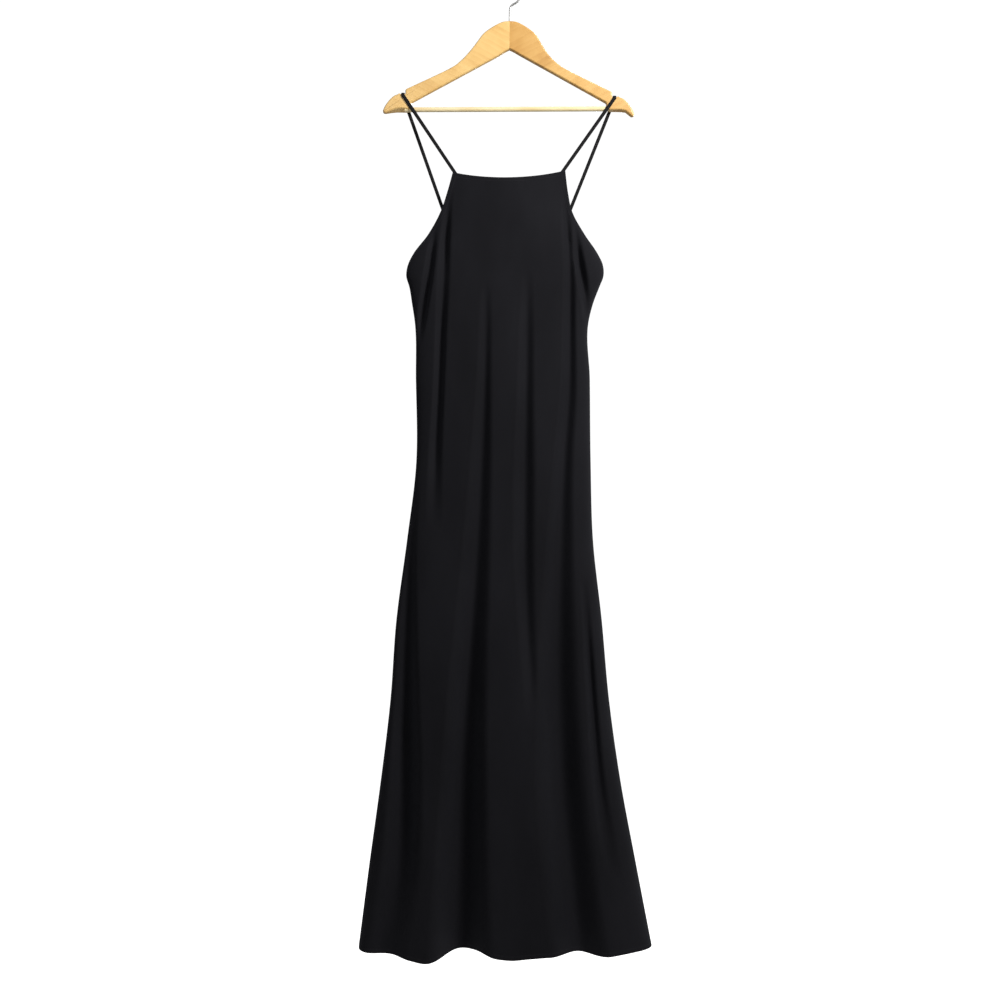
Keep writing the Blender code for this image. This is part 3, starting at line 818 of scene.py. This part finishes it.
def makeStrap(name, side):
    seat = hanger["woodThick"] / 2 + strap["off"] + strap["thick"] / 2
    floor = hanger["notchDeep"] - strap["off"] - strap["thick"] / 2
    bend = hanger["woodEdge"] + strap["off"] + strap["thick"] / 2
    over = []
    for i in range(strap["overSteps"] + 1):
        angle = math.radians(90 * i / strap["overSteps"])
        over.append((-seat + bend * (1 - math.cos(angle)), floor + bend * (1 - math.sin(angle)), angle))
    over += [(-y, drop, math.pi - angle) for y, drop, angle in over[::-1]]
    frontRest = hung(side * hanger["notchX"], -seat, floor + bend)
    backRest = hung(side * hanger["notchX"], seat, floor + bend)
    path, normals = tuckPoints(frontPanel, frontTop, side * strap["frontAt"], frontRest)
    backPlaces, backNormals = tuckPoints(backPanel, backTop, side * panelForm["backStrapAt"], backRest)
    frontMouth, backMouth = path[-1], backPlaces[-1]
    for i in range(1, strap["frontSteps"]):
        path.append(frontMouth.lerp(frontRest, i / strap["frontSteps"]))
        normals.append(Vector((0, -1, 0)))
    for y, drop, angle in over:
        path.append(hung(side * hanger["notchX"], y, drop))
        normals.append(Vector((0, -math.cos(angle), math.sin(angle))))
    for i in range(1, strap["backSteps"]):
        path.append(backRest.lerp(backMouth, i / strap["backSteps"]))
        normals.append(Vector((0, 1, 0)))
    path += backPlaces[::-1]
    normals += backNormals[::-1]
    return sweepTube(name, path, normals, strapOutline(), strapCloth)


leftStrap = makeStrap("strapLeftTube", -1)
rightStrap = makeStrap("strapRightTube", 1)
print("straps made")

# floor, light and camera

stageLook = {
    "floorDrop": 2.25, "floorSize": 40.0,
    "pale": (0.86, 0.86, 0.85), "palest": (0.91, 0.91, 0.90),
    "glow": 1.0,              # lets the floor run into the backdrop
    "backdrop": 1.05, "ambient": 0.065, "shine": 0.6,
}
bpy.ops.object.select_all(action="DESELECT")
bpy.ops.mesh.primitive_plane_add(size=stageLook["floorSize"], location=(0, 0, 0))
floor = bpy.context.object
floor.name = "paleFloor"
floor.data.transform(Matrix.Translation((0, 0, -stageLook["floorDrop"])))
floorMaterial, floorTree, floorShader = newMaterial("paleFloorPaint")
floorPlace = addNode(floorTree, "ShaderNodeTexCoord")
floorNoise = noiseNode(floorTree, floorPlace.outputs["Object"], 3.0, 3.0, 0.5)
floorTree.links.new(ramp(floorTree, floorNoise, ((0.3, stageLook["pale"]), (0.7, stageLook["palest"]))),
                    floorShader.inputs["Base Color"])
floorShader.inputs["Roughness"].default_value = 0.9
floorShader.inputs["Emission Color"].default_value = (1, 1, 1, 1)
floorPath = addNode(floorTree, "ShaderNodeLightPath")
floorTree.links.new(mathNode(floorTree, "MULTIPLY", floorPath.outputs["Is Camera Ray"], stageLook["glow"]),
                    floorShader.inputs["Emission Strength"])
floor.data.materials.append(floorMaterial)

world = bpy.data.worlds.new("studio")
bpy.context.scene.world = world
world.use_nodes = True
worldTree = world.node_tree
background = worldTree.nodes["Background"]
background.inputs["Color"].default_value = (1, 1, 1, 1)
lightPath = addNode(worldTree, "ShaderNodeLightPath")
seen = mathNode(worldTree, "MULTIPLY", lightPath.outputs["Is Camera Ray"],
                stageLook["backdrop"] - stageLook["ambient"])
shone = mathNode(worldTree, "MULTIPLY", lightPath.outputs["Is Glossy Ray"],
                 stageLook["shine"] - stageLook["ambient"])
strength = mathNode(worldTree, "ADD", mathNode(worldTree, "ADD", seen, shone), stageLook["ambient"])
worldTree.links.new(strength, background.inputs["Strength"])

lights = {
    "key": {"place": (1.05, -1.15, 0.35), "aim": (0.0, 0.0, -0.45), "size": 0.45, "power": 41.0,
            "tint": (1.0, 0.985, 0.96)},
    "fill": {"place": (-0.8, -1.7, 0.35), "aim": (-0.05, 0.0, -0.2), "size": 0.8, "power": 6.5,
             "tint": (0.96, 0.98, 1.0)},
    "edge": {"place": (1.9, 0.7, -0.3), "aim": (0.1, 0.0, -0.7), "size": 0.9, "power": 20.0,
             "tint": (1.0, 1.0, 1.0)},
    "back": {"place": (0.5, 1.8, 0.4), "aim": (0.0, 0.0, -0.5), "size": 0.9, "power": 30.0,
             "tint": (1.0, 0.99, 0.97)},
}
for name, look in lights.items():
    lamp = bpy.data.lights.new(name, "AREA")
    lamp.shape = "DISK"
    lamp.size = look["size"]
    lamp.energy = look["power"]
    lamp.color = look["tint"]
    lampObject = bpy.data.objects.new(name, lamp)
    bpy.context.collection.objects.link(lampObject)
    lampObject.location = look["place"]
    heading = Vector(look["aim"]) - Vector(look["place"])
    lampObject.rotation_euler = heading.to_track_quat("-Z", "Y").to_euler()

camera = {"place": (-0.0183, -2.3, -0.914), "viewWidth": 1.773, "sensor": 36.0}
view = bpy.data.cameras.new("view")
view.sensor_width = camera["sensor"]
view.lens = camera["sensor"] * -camera["place"][1] / camera["viewWidth"]
viewObject = bpy.data.objects.new("view", view)
bpy.context.collection.objects.link(viewObject)
viewObject.location = camera["place"]
viewObject.rotation_euler = (math.radians(90), 0, 0)
bpy.context.scene.camera = viewObject
bpy.context.scene.view_settings.view_transform = "Standard"
bpy.context.scene.view_settings.look = "None"

# who carries what

for piece, node, finish in (
        (frontCloth, "front_panel", "crepe"), (backCloth, "back_panel", "crepe"),
        (leftStrap, "strap_left", "strap"), (rightStrap, "strap_right", "strap"),
        (leftArm, "hanger_half_left", "wood_light"), (rightArm, "hanger_half_right", "wood_warm"),
        (barPiece, "hanger_bar", "dowel"), (hookPiece, "hanger_hook", "wire")):
    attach(piece, "root")
    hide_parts(node)

print("stage set")
